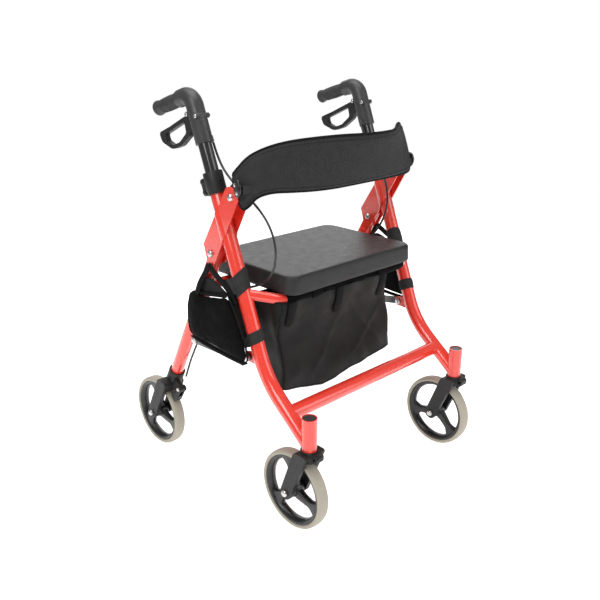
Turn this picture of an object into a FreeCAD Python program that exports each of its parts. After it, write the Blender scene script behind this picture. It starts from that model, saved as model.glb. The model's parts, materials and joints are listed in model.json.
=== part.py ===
import FreeCAD, Part
import math
import os

# A four-wheeled folding walker with a seat.  +X is the user's left, the user walks toward -Y, +Z is up.
# The origin is on the floor, midway between the four wheels.

Vector = FreeCAD.Vector
X_AXIS = Vector(1, 0, 0)
Z_AXIS = Vector(0, 0, 1)
SIDES = (("right", -1), ("left", 1))

DOC = FreeCAD.newDocument("rollator")
SHEET = DOC.addObject("Spreadsheet::Sheet", "dims")
PARTS = []

# Driving dimensions in millimetres and degrees.
DIMENSIONS = {
    # main layout
    "leg_plane": 248,
    "rear_wheel_plane": 258,
    "hub_y": 243.25,
    "caster_trail": 42.4,
    "pivot_y": -6.5,
    "pivot_z": 551.5,
    "lean": 21,
    "leg_ref_y": 18.8,
    "leg_ref_z": 770,
    # tubes
    "tube_od": 31.8,
    "tube_bore": 28.75,
    "post_od": 28.6,
    "post_bore": 24.6,
    "bow_od": 22.2,
    "bow_bore": 19.2,
    "leg_top_z": 712,
    "leg_bend_radius": 200,
    "leg_bend_y": -158.5,
    "leg_bend_z": 308.2,
    "leg_foot_z": 208.9,
    "head_bottom_z": 196,
    "head_length": 74,
    "head_bore": 22.0,
    "crossbar_y": -226.5,
    "crossbar_z": 255.3,
    # gusset plates
    "plate_gap": 13,
    "plate_thickness": 3,
    "bolt_radius": 4,
    "pin_clearance": 0.05,
    "bolt_head_radius": 7.5,
    "bolt_head_height": 7,
    "back_pivot_y": -79.5,
    "back_pivot_z": 681,
    # side brace
    "brace_front_y": -105.2,
    "brace_front_z": 345,
    "brace_mid_y": -21.2,
    "brace_mid_z": 331.2,
    "brace_rear_y": 78.8,
    "brace_rear_z": 327.8,
    "link_thickness": 3,
    "link_width": 18,
    "tab_thickness": 4,
    # wheels
    "wheel_radius": 87.5,
    "tyre_width": 28,
    "rim_radius": 78,
    "rim_inner_radius": 69,
    "rim_width": 24,
    "web_width": 12,
    "hub_radius": 16,
    "hub_width": 31,
    "axle_radius": 4,
    # forks
    "arm_inside": 18,
    "arm_thickness": 10,
    "stem_radius": 6,
    "collar_radius": 18.5,
    "crown_radius": 22,
    "socket_radius": 19.5,
    # seat
    "seat_half_width": 195,
    "seat_front_y": -178.8,
    "seat_rear_y": 99.6,
    "seat_top_z": 521,
    "pad_thickness": 33,
    "board_thickness": 6,
    "seat_tube_y": -152,
    "seat_tube_z": 467,
    "rear_tube_y": 40,
    # handles
    "clamp_radius": 20.5,
    "clamp_length": 45,
    "clamp_z": 677,
    "body_radius": 18.5,
    "grip_radius": 14,
    "lever_width": 12,
    "lever_pivot_y": 57,
    "lever_pivot_z": 830,
    # soft goods and cables
    "cable_radius": 2.5,
    "strap_thickness": 1.6,
    "cloth": 2.5,
}


def fill_sheet():
    for row, (alias, value) in enumerate(DIMENSIONS.items(), start=1):
        SHEET.set("A%d" % row, alias)
        SHEET.set("B%d" % row, str(value))
        SHEET.setAlias("B%d" % row, alias)
    DOC.recompute()


def dim(alias):
    return float(SHEET.get(alias))


fill_sheet()


# ---------------------------------------------------------------- helpers

def set_size(obj, prop, size):
    """Bind a property to the sheet when the size is an expression, or set a worked-out number."""
    if isinstance(size, str):
        obj.setExpression(prop, size)
    else:
        setattr(obj, prop, size)


def place(obj, base, axis=Z_AXIS):
    obj.Placement = FreeCAD.Placement(Vector(*base), FreeCAD.Rotation(Z_AXIS, Vector(*axis)))
    return obj


def cylinder(radius, length, base, axis=Z_AXIS):
    obj = DOC.addObject("Part::Cylinder", "cylinder")
    set_size(obj, "Radius", radius)
    set_size(obj, "Height", length)
    return place(obj, base, axis)


def cross_pin(radius, x_from, x_to, y, z):
    """A cylinder along X between two x values."""
    return cylinder(radius, x_to - x_from, (x_from, y, z), X_AXIS)


def cone(radius_1, radius_2, length, base, axis=Z_AXIS):
    obj = DOC.addObject("Part::Cone", "cone")
    set_size(obj, "Radius1", radius_1)
    set_size(obj, "Radius2", radius_2)
    set_size(obj, "Height", length)
    return place(obj, base, axis)


def box(low, high):
    obj = DOC.addObject("Part::Box", "box")
    obj.Length = high[0] - low[0]
    obj.Width = high[1] - low[1]
    obj.Height = high[2] - low[2]
    return place(obj, low)


def fuse(*shapes):
    obj = DOC.addObject("Part::MultiFuse", "fuse")
    obj.Shapes = list(shapes)
    obj.Refine = True
    return obj


def cut(base, tool):
    obj = DOC.addObject("Part::Cut", "cut")
    obj.Base = base
    obj.Tool = tool
    obj.Refine = True
    return obj


def common(base, tool):
    obj = DOC.addObject("Part::MultiCommon", "common")
    obj.Shapes = [base, tool]
    obj.Refine = True
    return obj


def group(*shapes):
    obj = DOC.addObject("Part::Compound", "group")
    obj.Links = list(shapes)
    return obj


def tilt(obj, base, angle):
    """Turn an object about X, so that its own Z leans by the angle, and move it to base."""
    rotation = FreeCAD.Rotation(X_AXIS, angle)
    obj.Placement = FreeCAD.Placement(Vector(*base), rotation).multiply(obj.Placement)
    return obj


def name_part(obj, label):
    obj.Label = label
    PARTS.append(obj)
    return obj


def corner_arc(before, corner, after, radius):
    """The tangent points and mid point of an arc that rounds a corner."""
    to_before = (before - corner).normalize()
    to_after = (after - corner).normalize()
    half = to_before.getAngle(to_after) / 2
    reach = radius / math.tan(half)
    start = corner + to_before * reach
    end = corner + to_after * reach
    bisector = (to_before + to_after).normalize()
    middle = corner + bisector * (radius / math.sin(half) - radius)
    return start, middle, end


def rounded_edges(points, radii, closed):
    """Straight runs joined by tangent arcs, as a list of Part curves."""
    points = [Vector(*point) for point in points]
    count = len(points)
    if not isinstance(radii, (list, tuple)):
        radii = [radii] * count
    arcs = []
    for index, corner in enumerate(points):
        is_end = not closed and index in (0, count - 1)
        if is_end or radii[index] <= 0:
            arcs.append((corner, None, corner))
        else:
            arcs.append(corner_arc(points[index - 1], corner, points[(index + 1) % count], radii[index]))
    edges = []
    for index in range(count):
        start, middle, end = arcs[index]
        if middle is not None:
            edges.append(Part.Arc(start, middle, end))
        if index == count - 1 and not closed:
            break
        following = arcs[(index + 1) % count][0]
        if (following - end).Length > 1e-6:
            edges.append(Part.LineSegment(end, following))
    return edges


def sweep_along(path, start, direction, radius):
    circle = DOC.addObject("Part::Circle", "section")
    set_size(circle, "Radius", radius)
    place(circle, start, direction)
    sweep = DOC.addObject("Part::Sweep", "sweep")
    sweep.Sections = [circle]
    sweep.Spine = (path, ["Edge%d" % (index + 1) for index in range(len(path.Shape.Edges))])
    sweep.Solid = True
    sweep.Frenet = False
    return sweep


def pipe(points, radii, radius, bore=None):
    """A round tube or rod whose path is straight runs joined by tangent arcs."""
    path = DOC.addObject("Part::Feature", "path")
    path.Shape = Part.Wire([edge.toShape() for edge in rounded_edges(points, radii, False)])
    start = Vector(*points[0])
    direction = Vector(*points[1]) - start
    outer = sweep_along(path, start, direction, radius)
    if bore is None:
        return outer
    return cut(outer, sweep_along(path, start, direction, bore))


def origin_feature(body, role):
    return [feature for feature in body.Origin.OriginFeatures if feature.Role == role][0]


def new_body():
    return DOC.addObject("PartDesign::Body", "body")


def sketch_on(body, role, loops, height=0.0):
    """A sketch on one of a body's planes, with closed loops of (points, corner radii)."""
    sketch = body.newObject("Sketcher::SketchObject", "sketch")
    sketch.AttachmentSupport = (origin_feature(body, role), [""])
    sketch.MapMode = "FlatFace"
    sketch.AttachmentOffset = FreeCAD.Placement(Vector(0, 0, height), FreeCAD.Rotation())
    for points, radii in loops:
        flat = [(point[0], point[1], 0) for point in points]
        for edge in rounded_edges(flat, radii, True):
            sketch.addGeometry(edge, False)
    return sketch


def pad(body, sketch, length):
    feature = body.newObject("PartDesign::Pad", "pad")
    feature.Profile = sketch
    feature.Midplane = True
    set_size(feature, "Length", length)
    return feature


def side_plate(loops, thickness, x_middle):
    """A flat piece in a YZ plane, centred on x_middle."""
    body = new_body()
    pad(body, sketch_on(body, "YZ_Plane", loops), thickness)
    body.Placement.Base = Vector(x_middle, 0, 0)
    return body


def leg_point(z, back=0.0):
    """The y and z of a point on the front leg's straight axis, or behind it by a distance."""
    lean = math.radians(dim("lean"))
    y = dim("leg_ref_y") + math.tan(lean) * (z - dim("leg_ref_z"))
    return y + back * math.cos(lean), z - back * math.sin(lean)


def leg_direction():
    lean = math.radians(dim("lean"))
    return Vector(0, math.sin(lean), math.cos(lean))


def rear_lean():
    """The rear leg's axis runs from its pivot straight to the rear hub."""
    return math.atan2(dim("hub_y") - dim("pivot_y"), dim("pivot_z") - dim("wheel_radius"))


# ---------------------------------------------------------------- front frame

def leg_path(side):
    x = side * dim("leg_plane")
    top_y, top_z = leg_point(dim("leg_top_z"))
    return [
        (x, top_y, top_z),
        (x, dim("leg_bend_y"), dim("leg_bend_z")),
        (x, -dim("hub_y") - dim("caster_trail"), dim("leg_foot_z")),
    ]


def leg_envelope(side):
    return pipe(leg_path(side), dim("leg_bend_radius"), "dims.tube_od / 2")


def head_envelope(side):
    base = (side * dim("leg_plane"), -dim("hub_y") - dim("caster_trail"), dim("head_bottom_z"))
    return cylinder("dims.tube_od / 2", "dims.head_length", base)


def brace_tab(x_middle, tab_y, tab_z, root_y, root_z):
    """A welded tab from a tube's wall to a brace pin, drilled for the pin."""
    reach = Vector(0, root_y - tab_y, root_z - tab_z)
    out = reach.normalize() * 11
    across = Vector(0, -out.z, out.y)
    root = Vector(0, root_y, root_z)
    pin = Vector(0, tab_y, tab_z)
    corners = [pin - out + across, pin - out - across, root - across * 1.4, root + across * 1.4]
    outline = [(corner.y, corner.z) for corner in corners]
    blank = side_plate([(outline, [10.5, 10.5, 0, 0])], "dims.tab_thickness", x_middle)
    hole = cross_pin("dims.bolt_radius", x_middle - 10, x_middle + 10, tab_y, tab_z)
    return cut(blank, hole)


def front_leg(name, side):
    x = side * dim("leg_plane")
    tab_y, tab_z = dim("brace_front_y"), dim("brace_front_z")
    tab = brace_tab(x, tab_y, tab_z, tab_y - 36, tab_z + 2)
    blank = fuse(leg_envelope(side), tab)
    bore = pipe(leg_path(side), dim("leg_bend_radius"), "dims.tube_bore / 2")
    hollow = cut(blank, bore)
    name_part(cut(hollow, head_envelope(side)), name + "_front_leg")


def head_tube(name, side):
    x, y = side * dim("leg_plane"), -dim("hub_y") - dim("caster_trail")
    bore = cylinder("dims.head_bore / 2", "dims.head_length", (x, y, dim("head_bottom_z")))
    recess = cylinder("dims.tube_od / 2 - 1.9", 5, (x, y, dim("head_bottom_z") + dim("head_length") - 5))
    name_part(cut(head_envelope(side), fuse(bore, recess)), name + "_head_tube")


def headset_plastics():
    """A plug in the top of each head tube, and two bushes inside it round the caster's stem."""
    pieces = []
    for side in (-1, 1):
        x, y = side * dim("leg_plane"), -dim("hub_y") - dim("caster_trail")
        bottom = dim("head_bottom_z")
        for bush_z in (bottom, bottom + 52):
            ring = cylinder("dims.head_bore / 2", 9, (x, y, bush_z))
            bore = cylinder("dims.stem_radius + dims.pin_clearance", 9, (x, y, bush_z))
            pieces.append(cut(ring, bore))
        pieces.append(cylinder("dims.tube_od / 2 - 1.9", 3.5, (x, y, bottom + dim("head_length") - 5)))
    name_part(group(*pieces), "headset_plastics")


def front_crossbar():
    reach = dim("leg_plane")
    bar = cross_pin("dims.tube_od / 2", -reach, reach, dim("crossbar_y"), dim("crossbar_z"))
    bore = cross_pin("dims.tube_bore / 2", -reach, reach, dim("crossbar_y"), dim("crossbar_z"))
    legs = fuse(leg_envelope(-1), leg_envelope(1))
    name_part(cut(cut(bar, bore), legs), "front_crossbar")


def seat_tube():
    """A bow from leg to leg that carries the front of the seat."""
    y, z = dim("seat_tube_y"), dim("seat_tube_z")
    leg_y, leg_z = leg_point(481)
    half = dim("leg_plane")
    points = [(-half, leg_y, leg_z), (-188, y, z), (188, y, z), (half, leg_y, leg_z)]
    bow = pipe(points, 42, "dims.bow_od / 2", "dims.bow_bore / 2")
    legs = fuse(leg_envelope(-1), leg_envelope(1))
    name_part(cut(bow, legs), "seat_tube")


def plate_outline():
    return [(-106.6, 688), (-70, 708.6), (19, 568), (4, 519), (-16, 530)], [20.8, 20.8, 9, 7, 7]


def gusset_plate(side, face):
    """One pressed plate: a flat sheet with a half-round channel where it crosses the leg."""
    x_leg = side * dim("leg_plane")
    middle = x_leg + face * (dim("plate_gap") + dim("plate_thickness") / 2)
    flat = side_plate([plate_outline()], "dims.plate_thickness", middle)
    channel_depth = 8
    channel_middle = x_leg + face * (dim("plate_gap") + channel_depth / 2)
    channel_blank = side_plate([plate_outline()], channel_depth, channel_middle)
    low_y, low_z = leg_point(500)
    low_point = (x_leg, low_y, low_z)
    round_bar = cylinder("dims.tube_od / 2 + dims.plate_thickness", 240, low_point, leg_direction())
    pressed = fuse(flat, common(channel_blank, round_bar))
    leg_space = cylinder("dims.tube_od / 2", 240, (x_leg, low_y, low_z), leg_direction())
    holes = []
    for y, z in ((dim("pivot_y"), dim("pivot_z")), (dim("back_pivot_y"), dim("back_pivot_z"))):
        holes.append(cross_pin("dims.bolt_radius", middle - 10, middle + 10, y, z))
    return cut(pressed, fuse(leg_space, *holes))


def gusset_plates(name, side):
    name_part(gusset_plate(side, side), name + "_outer_plate")
    name_part(gusset_plate(side, -side), name + "_inner_plate")


def bolt_head(x_face, direction, y, z, radius="dims.bolt_head_radius", height="dims.bolt_head_height"):
    """A domed head that stands on a face across X."""
    head = cylinder(radius, height, (x_face, y, z), (direction, 0, 0))
    dome = DOC.addObject("Part::Fillet", "dome")
    dome.Base = head
    DOC.recompute()
    far = max(head.Shape.Edges, key=lambda edge: edge.CenterOfMass.x * direction)
    number = [edge.isSame(far) for edge in head.Shape.Edges].index(True) + 1
    size = min(head.Radius.Value, head.Height.Value) * 0.7
    dome.Edges = [(number, size, size)]
    head.Visibility = False
    return dome


def through_bolt(x_low, x_high, y, z, radius="dims.bolt_radius"):
    """A bolt along X with a domed head at each end."""
    rod = cross_pin(radius, x_low, x_high, y, z)
    return fuse(rod, bolt_head(x_low, -1, y, z), bolt_head(x_high, 1, y, z))


def frame_bolts():
    """The two hinge bolts on each side and the front pins of the side braces."""
    bolts = []
    reach = dim("plate_gap") + dim("plate_thickness")
    link_face = dim("tab_thickness") / 2 + 0.5 + dim("link_thickness") + 0.3
    for side in (-1, 1):
        x = side * dim("leg_plane")
        for y, z in ((dim("pivot_y"), dim("pivot_z")), (dim("back_pivot_y"), dim("back_pivot_z"))):
            bolts.append(through_bolt(x - reach, x + reach, y, z))
        ends = sorted((x - side * dim("tab_thickness") / 2, x + side * link_face))
        bolts.append(through_bolt(ends[0], ends[1], dim("brace_front_y"), dim("brace_front_z")))
    name_part(group(*bolts), "frame_bolts")


def height_clamp(name, side):
    """A split clamp at the top of the leg, with a boss behind it for the knob."""
    y, z = leg_point(dim("clamp_z"))
    ring = cylinder("dims.clamp_radius", "dims.clamp_length", (0, 0, 0))
    boss = box((-9, 14, 10), (9, 27, 34))
    lip = box((-5, -22.5, 24), (5, -16, dim("clamp_length")))
    leg_space = cylinder("dims.tube_od / 2", 39.5, (0, 0, -1))
    post_space = cylinder("dims.post_od / 2 + 0.3", 60, (0, 0, -1))
    clamp = cut(fuse(ring, boss, lip), fuse(leg_space, post_space))
    name_part(tilt(clamp, (side * dim("leg_plane"), y, z), -dim("lean")), name + "_height_clamp")


def clamp_knob(name, side):
    """A two-lobed knob on a short spindle, behind the clamp."""
    y, z = leg_point(dim("clamp_z"))
    spindle = cylinder(4, 5, (0, 27.5, 22), (0, 1, 0))
    bar = box((-6, 31, 10), (6, 40, 34))
    lobes = [cylinder(7.5, 9, (0, 31, height), (0, 1, 0)) for height in (11, 33)]
    knob = fuse(spindle, bar, *lobes)
    name_part(tilt(knob, (side * dim("leg_plane"), y, z), -dim("lean")), name + "_clamp_knob")


def leg_straps():
    """Webbing sleeves lapped round each front leg, which hold the side pockets."""
    sleeves = []
    for side in (-1, 1):
        for z, width in ((511, 34), (394, 24)):
            y, z = leg_point(z)
            outer = cylinder("dims.tube_od / 2 + dims.strap_thickness", width, (0, 0, -width / 2))
            inner = cylinder("dims.tube_od / 2 + 0.1", width + 2, (0, 0, -width / 2 - 1))
            sleeve = cut(outer, inner)
            sleeves.append(tilt(sleeve, (side * dim("leg_plane"), y, z), -dim("lean")))
    name_part(group(*sleeves), "leg_straps")


def underseat_bag():
    """An open-topped cloth bag below the seat."""
    outside = box((-176, -142, 255), (176, -40, 452))
    cloth = dim("cloth")
    inside = box((-176 + cloth, -142 + cloth, 255 + cloth), (176 - cloth, -40 - cloth, 460))
    name_part(cut(outside, inside), "underseat_bag")


def side_pocket(name, side):
    """A flat open-topped pouch outside the legs, behind the front leg."""
    outline = [(-84, 478), (66, 456), (68, 376), (-120, 348)]
    hollow = [(-79, 496), (63, 474), (65, 380), (-114, 352.5)]
    outer = side_plate([(outline, [3, 10, 20, 20])], 26, side * 279)
    inner = side_plate([(hollow, [1, 1, 16, 16])], 21, side * 279)
    name_part(cut(outer, inner), name + "_side_pocket")


# The right cable hangs in a wide bow, the left one in a shallow bow.
CABLE_TOP = [(226.6, 20.4, 774.6), (226, 5, 737), (221, -26, 703)]
CABLE_BOWS = {
    "right": [(217, -64, 680), (215, -102, 657), (215, -134, 630), (215, -153, 595), (215, -155, 556),
              (214, -139, 521), (213, -107, 496), (213, -66, 479), (214, -24, 463), (215, 15, 440),
              (217, 47, 408), (221, 73, 370)],
    "left": [(216, -56, 676), (211, -78, 646), (208, -88, 612), (207, -84, 577), (208, -68, 545),
             (210, -46, 518), (211, -22, 493), (212, 3, 467), (215, 29, 438), (218, 53, 404), (221, 75, 368)],
}
CABLE_FOOT = [(226, 96, 330), (232, 115, 289), (241, 128, 250), (250, 134, 214)]


def cable_radii(points):
    """Each arc is as large as its two runs allow."""
    points = [Vector(*point) for point in points]
    radii = [0.0] * len(points)
    for index in range(1, len(points) - 1):
        before = points[index] - points[index - 1]
        after = points[index + 1] - points[index]
        run = min(before.Length, after.Length)
        radii[index] = 0.45 * run / math.tan(before.getAngle(after) / 2)
    return radii


def brake_cable(name, side):
    route = [(side * x, y, z) for x, y, z in CABLE_TOP + CABLE_BOWS[name] + CABLE_FOOT]
    radii = cable_radii(route)
    cable = pipe(route, radii, "dims.cable_radius")
    DOC.recompute()
    wire_length = cable.Spine[0].Shape.Length
    section = math.pi * dim("cable_radius") ** 2
    print(name, "cable length", round(wire_length, 1), "smallest radius", round(min(radii[1:-1]), 1),
          "volume ratio", round(cable.Shape.Volume / (section * wire_length), 4))
    name_part(cable, name + "_brake_cable")


# ---------------------------------------------------------------- rear frame

def rear_leg_span():
    """Distances from the hub, along the rear leg, of its lower and upper ends."""
    length = math.hypot(dim("hub_y") - dim("pivot_y"), dim("pivot_z") - dim("wheel_radius"))
    return 100.0, length + 17.0, length


def rear_leg(name, side):
    """A tube with a plugged, flat-sided upper end that turns between the gusset plates."""
    low, high, pivot = rear_leg_span()
    flat_length = 62
    tube = cut(cylinder("dims.tube_od / 2", high - low, (0, 0, low)),
               cylinder("dims.tube_bore / 2", high - low - flat_length, (0, 0, low)))
    cheek = dim("plate_gap") - 0.4
    cutters = [box((x, -30, high - flat_length + 5), (x + 20, 30, high + 1)) for x in (cheek, -cheek - 20)]
    hole = cross_pin("dims.bolt_radius + dims.pin_clearance", -30, 30, 0, pivot)
    stem = cut(tube, fuse(hole, *cutters))
    hub = (side * dim("leg_plane"), dim("hub_y"), dim("wheel_radius"))
    leg = tilt(stem, hub, math.degrees(rear_lean()))
    tab_y, tab_z = dim("brace_rear_y"), dim("brace_rear_z")
    tab = brace_tab(side * (dim("leg_plane") + 3.5), tab_y, tab_z, tab_y + 28, tab_z + 8)
    bore_up = Vector(0, -math.sin(rear_lean()), math.cos(rear_lean()))
    bore_base = Vector(*hub) + bore_up * low
    tab_space = cylinder("dims.tube_bore / 2", 300, bore_base, bore_up)
    name_part(fuse(leg, cut(tab, tab_space)), name + "_rear_leg")


def rear_crossbar():
    """The tube between the rear legs that the back of the seat rests on."""
    y = dim("rear_tube_y")
    z = dim("pivot_z") - (y - dim("pivot_y")) / math.tan(rear_lean())
    reach = dim("leg_plane")
    bore = cross_pin("dims.bow_bore / 2", -reach, reach, y, z)
    bar = cut(cross_pin("dims.bow_od / 2", -reach, reach, y, z), bore)
    legs = []
    for side in (-1, 1):
        leg = cylinder("dims.tube_od / 2", 400, (0, 0, 100))
        hub = (side * dim("leg_plane"), dim("hub_y"), dim("wheel_radius"))
        legs.append(tilt(leg, hub, math.degrees(rear_lean())))
    name_part(cut(bar, fuse(*legs)), "rear_crossbar")


def rear_fork(name, side):
    """A moulded socket on the rear leg, slotted for the brake shoe, with wheel arms and a lug for the brake."""
    offset = side * (dim("rear_wheel_plane") - dim("leg_plane"))
    arm_middle = dim("arm_inside") + dim("arm_thickness") / 2
    arm = [(-16, 120), (17, 120), (14.5, -14.5), (-14.5, -14.5)]
    radii = [8, 14, 14.4, 14.4]
    arms = [side_plate([(arm, radii)], "dims.arm_thickness", offset + way * arm_middle) for way in (-1, 1)]
    spread = dim("arm_inside") + dim("arm_thickness")
    crown_outline = [(-16, 120), (17, 120), (16.5, 93), (-15.8, 93)]
    crown = side_plate([(crown_outline, [8, 14, 0, 0])], 2 * spread, offset)
    shoe_space = [(-40, 88), (-15.8, 88), (-15.8, 98.5), (-17.3, 99.5), (-17.3, 105), (-21, 109), (-40, 120)]
    slot = side_plate([(shoe_space, [0] * 7)], 19, offset)
    socket = cut(cylinder("dims.socket_radius", 57, (0, 0, 93)), slot)
    lug_outline = [(-50, 137), (-14, 137), (-14, 105), (-36, 112), (-50, 124)]
    lug = side_plate([(lug_outline, [6, 0, 0, 6, 6])], 10, offset)
    leg_space = cylinder("dims.tube_od / 2", 60, (0, 0, 100))
    axle_hole = cross_pin("dims.axle_radius", offset - 40, offset + 40, 0, 0)
    pin_hole = cross_pin(3, offset - 20, offset + 20, -42, 128)
    solid = fuse(crown, socket, lug, *arms)
    fork = cut(solid, fuse(leg_space, axle_hole, pin_hole))
    hub = (side * dim("leg_plane"), dim("hub_y"), dim("wheel_radius"))
    name_part(tilt(fork, hub, math.degrees(rear_lean())), name + "_rear_fork")


def brake_shoe(name, side):
    """A bent arm on the fork's front lug that ends in a shoe just off the tread."""
    offset = side * (dim("rear_wheel_plane") - dim("leg_plane"))
    arm = [(-53, 137), (-35, 137), (-37, 112), (-24, 99), (-24, 91.5), (-42, 81), (-46, 88), (-48, 118)]
    cheeks = [side_plate([(arm, [7, 7, 6, 2, 0.8, 0.8, 4, 20])], 3, offset + way * 7) for way in (-1, 1)]
    pad_outline = [(-36, 94), (-25, 98), (-24, 91.5), (-42, 81), (-46, 88)]
    shoe = side_plate([(pad_outline, [1, 1, 0.8, 0.8, 2])], 17, offset)
    bridge = side_plate([([(-49, 106.5), (-40, 106.5), (-38, 96), (-46, 92)], 2)], 11.5, offset)
    hole = cross_pin(3.05, offset - 20, offset + 20, -42, 128)
    body = cut(fuse(shoe, bridge, *cheeks), hole)
    hub = (side * dim("leg_plane"), dim("hub_y"), dim("wheel_radius"))
    name_part(tilt(body, hub, math.degrees(rear_lean())), name + "_brake_shoe")


def rear_bolts():
    """Rear axles, brake pins and the rear pins of the side braces."""
    bolts = []
    spread = dim("arm_inside") + dim("arm_thickness")
    for side in (-1, 1):
        x = side * dim("rear_wheel_plane")
        hub_z = dim("wheel_radius")
        bolts.append(through_bolt(x - spread, x + spread, dim("hub_y"), hub_z, "dims.axle_radius"))
        lean = rear_lean()
        pin_y = dim("hub_y") - 42 * math.cos(lean) - 128 * math.sin(lean)
        pin_z = dim("wheel_radius") - 42 * math.sin(lean) + 128 * math.cos(lean)
        rod = cross_pin(3, x - 9, x + 9, pin_y, pin_z)
        heads = [bolt_head(x + way * 9, way, pin_y, pin_z, 5, 3) for way in (-1, 1)]
        bolts.append(fuse(rod, *heads))
        tab_inner = dim("leg_plane") + 3.5 - dim("tab_thickness") / 2
        link_outer = tab_inner + dim("tab_thickness") + 0.5 + dim("link_thickness") + 0.3
        ends = sorted((side * tab_inner, side * link_outer))
        bolts.append(through_bolt(ends[0], ends[1], dim("brace_rear_y"), dim("brace_rear_z")))
    name_part(group(*bolts), "rear_bolts")


def brace_link(side, layer, start, end, rivet_way):
    """A flat bar from a drilled end to an end that carries half of the middle rivet."""
    start, end = Vector(0, *start), Vector(0, *end)
    along = (end - start).normalize() * (dim("link_width") / 2)
    across = Vector(0, -along.z, along.y)
    corners = [start - along + across, start - along - across, end + along - across, end + along + across]
    outline = [(corner.y, corner.z) for corner in corners]
    x = side * (dim("leg_plane") + layer)
    bar = side_plate([(outline, dim("link_width") / 2 - 0.1)], "dims.link_thickness", x)
    hole = cross_pin("dims.bolt_radius + dims.pin_clearance", x - 10, x + 10, start.y, start.z)
    face = x + side * rivet_way * dim("link_thickness") / 2
    rivet = bolt_head(face, side * rivet_way, end.y, end.z, 6.5, 3.5)
    return fuse(cut(bar, hole), rivet)


def side_braces():
    middle = (dim("brace_mid_y"), dim("brace_mid_z"))
    front = (dim("brace_front_y"), dim("brace_front_z"))
    rear = (dim("brace_rear_y"), dim("brace_rear_z"))
    front_layer = dim("tab_thickness") / 2 + 0.5 + dim("link_thickness") / 2
    rear_layer = 3.5 + dim("tab_thickness") / 2 + 0.5 + dim("link_thickness") / 2
    name_part(group(*[brace_link(side, front_layer, front, middle, -1) for side in (-1, 1)]),
              "front_brace_links")
    name_part(group(*[brace_link(side, rear_layer, rear, middle, 1) for side in (-1, 1)]),
              "rear_brace_links")


# ---------------------------------------------------------------- seat and backrest

def seat():
    half, front, rear = dim("seat_half_width"), dim("seat_front_y"), dim("seat_rear_y")
    top, thickness = dim("seat_top_z"), dim("pad_thickness")
    pad_outline = [(-half, front), (half, front), (half, rear), (-half, rear)]
    cushion = new_body()
    pad(cushion, sketch_on(cushion, "XY_Plane", [(pad_outline, [24, 24, 30, 30])]), "dims.pad_thickness")
    cushion.Placement.Base = Vector(0, 0, top - thickness / 2)
    name_part(cushion, "seat_pad")
    inset = 6
    board_outline = [(-half + inset, front + inset), (half - inset, front + inset),
                     (half - inset, rear - inset), (-half + inset, rear - inset)]
    board = new_body()
    pad(board, sketch_on(board, "XY_Plane", [(board_outline, [18, 18, 24, 24])]), "dims.board_thickness")
    board_middle = top - thickness - dim("board_thickness") / 2
    board.Placement.Base = Vector(0, 0, board_middle)
    stops = [box((x - 15, 28, board_middle - 8.5), (x + 15, 52, board_middle)) for x in (-120, 120)]
    name_part(fuse(board, *stops), "seat_board")


def seat_clips():
    """Two clips under the board that turn on the bow and make the seat's hinge."""
    board_bottom = dim("seat_top_z") - dim("pad_thickness") - dim("board_thickness")
    y, z = dim("seat_tube_y"), dim("seat_tube_z")
    clips = []
    for x in (-105, 105):
        ring = cross_pin(14.8, x - 16, x + 16, y, z)
        saddle = box((x - 16, y - 14, z), (x + 16, y + 20, board_bottom))
        space = cross_pin("dims.bow_od / 2 + 0.08", x - 20, x + 20, y, z)
        clips.append(cut(fuse(ring, saddle), space))
    name_part(group(*clips), "seat_clips")


def band_outline(apex_y, outer_radius, thickness, half_width):
    """The plan of the curved band: two concentric arcs joined by straight ends."""
    centre = apex_y + outer_radius
    inner_radius = outer_radius - thickness
    ends = []
    for radius in (outer_radius, inner_radius):
        ends.append((half_width, centre - math.sqrt(radius ** 2 - half_width ** 2)))
    (x_out, y_out), (x_in, y_in) = ends
    out_left, out_mid, out_right = Vector(-x_out, y_out, 0), Vector(0, apex_y, 0), Vector(x_out, y_out, 0)
    in_left, in_right = Vector(-x_in, y_in, 0), Vector(x_in, y_in, 0)
    in_mid = Vector(0, apex_y + thickness, 0)
    return [
        Part.Arc(out_left, out_mid, out_right),
        Part.LineSegment(out_right, in_right),
        Part.Arc(in_right, in_mid, in_left),
        Part.LineSegment(in_left, out_left),
    ]


def backrest_pad():
    """A padded band, bowed forward and leaning forward toward its top, with a tongue at each end."""
    low, high, half_width = 676, 782, 230.5
    body = new_body()
    sections = []
    for height, apex, radius in ((low, -163, 717), (high, -188, 350)):
        sketch = sketch_on(body, "XY_Plane", [], height)
        for edge in band_outline(apex, radius, 18, half_width):
            sketch.addGeometry(edge, False)
        sections.append(sketch)
    loft = body.newObject("PartDesign::AdditiveLoft", "loft")
    loft.Profile = sections[0]
    loft.Sections = [sections[1]]
    loft.Ruled = True
    notches = []
    tongues = []
    for side in (-1, 1):
        notch = sorted((side * 221, side * 240))
        notches.append(box((notch[0], -140, low - 5), (notch[1], -60, 706.5)))
        tongue = sorted((side * 221, side * 259.5))
        tongues.append(box((tongue[0], -114, 706.5), (tongue[1], -77, 748)))
    name_part(fuse(cut(body, fuse(*notches)), *tongues), "backrest_pad")


def backrest_bracket(name, side):
    """A plastic hinge block between the gusset plates, below the band's end."""
    outline = [(-94, 667), (-65, 667), (-66, 695), (-78, 706.5), (-113, 706.5), (-113, 692)]
    block = side_plate([(outline, [12, 12, 3, 3, 2, 5])], 24.6, side * dim("leg_plane"))
    x = side * dim("leg_plane")
    hole = cross_pin("dims.bolt_radius + dims.pin_clearance", x - 20, x + 20,
                     dim("back_pivot_y"), dim("back_pivot_z"))
    name_part(cut(block, hole), name + "_backrest_bracket")


# ---------------------------------------------------------------- handles

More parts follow.
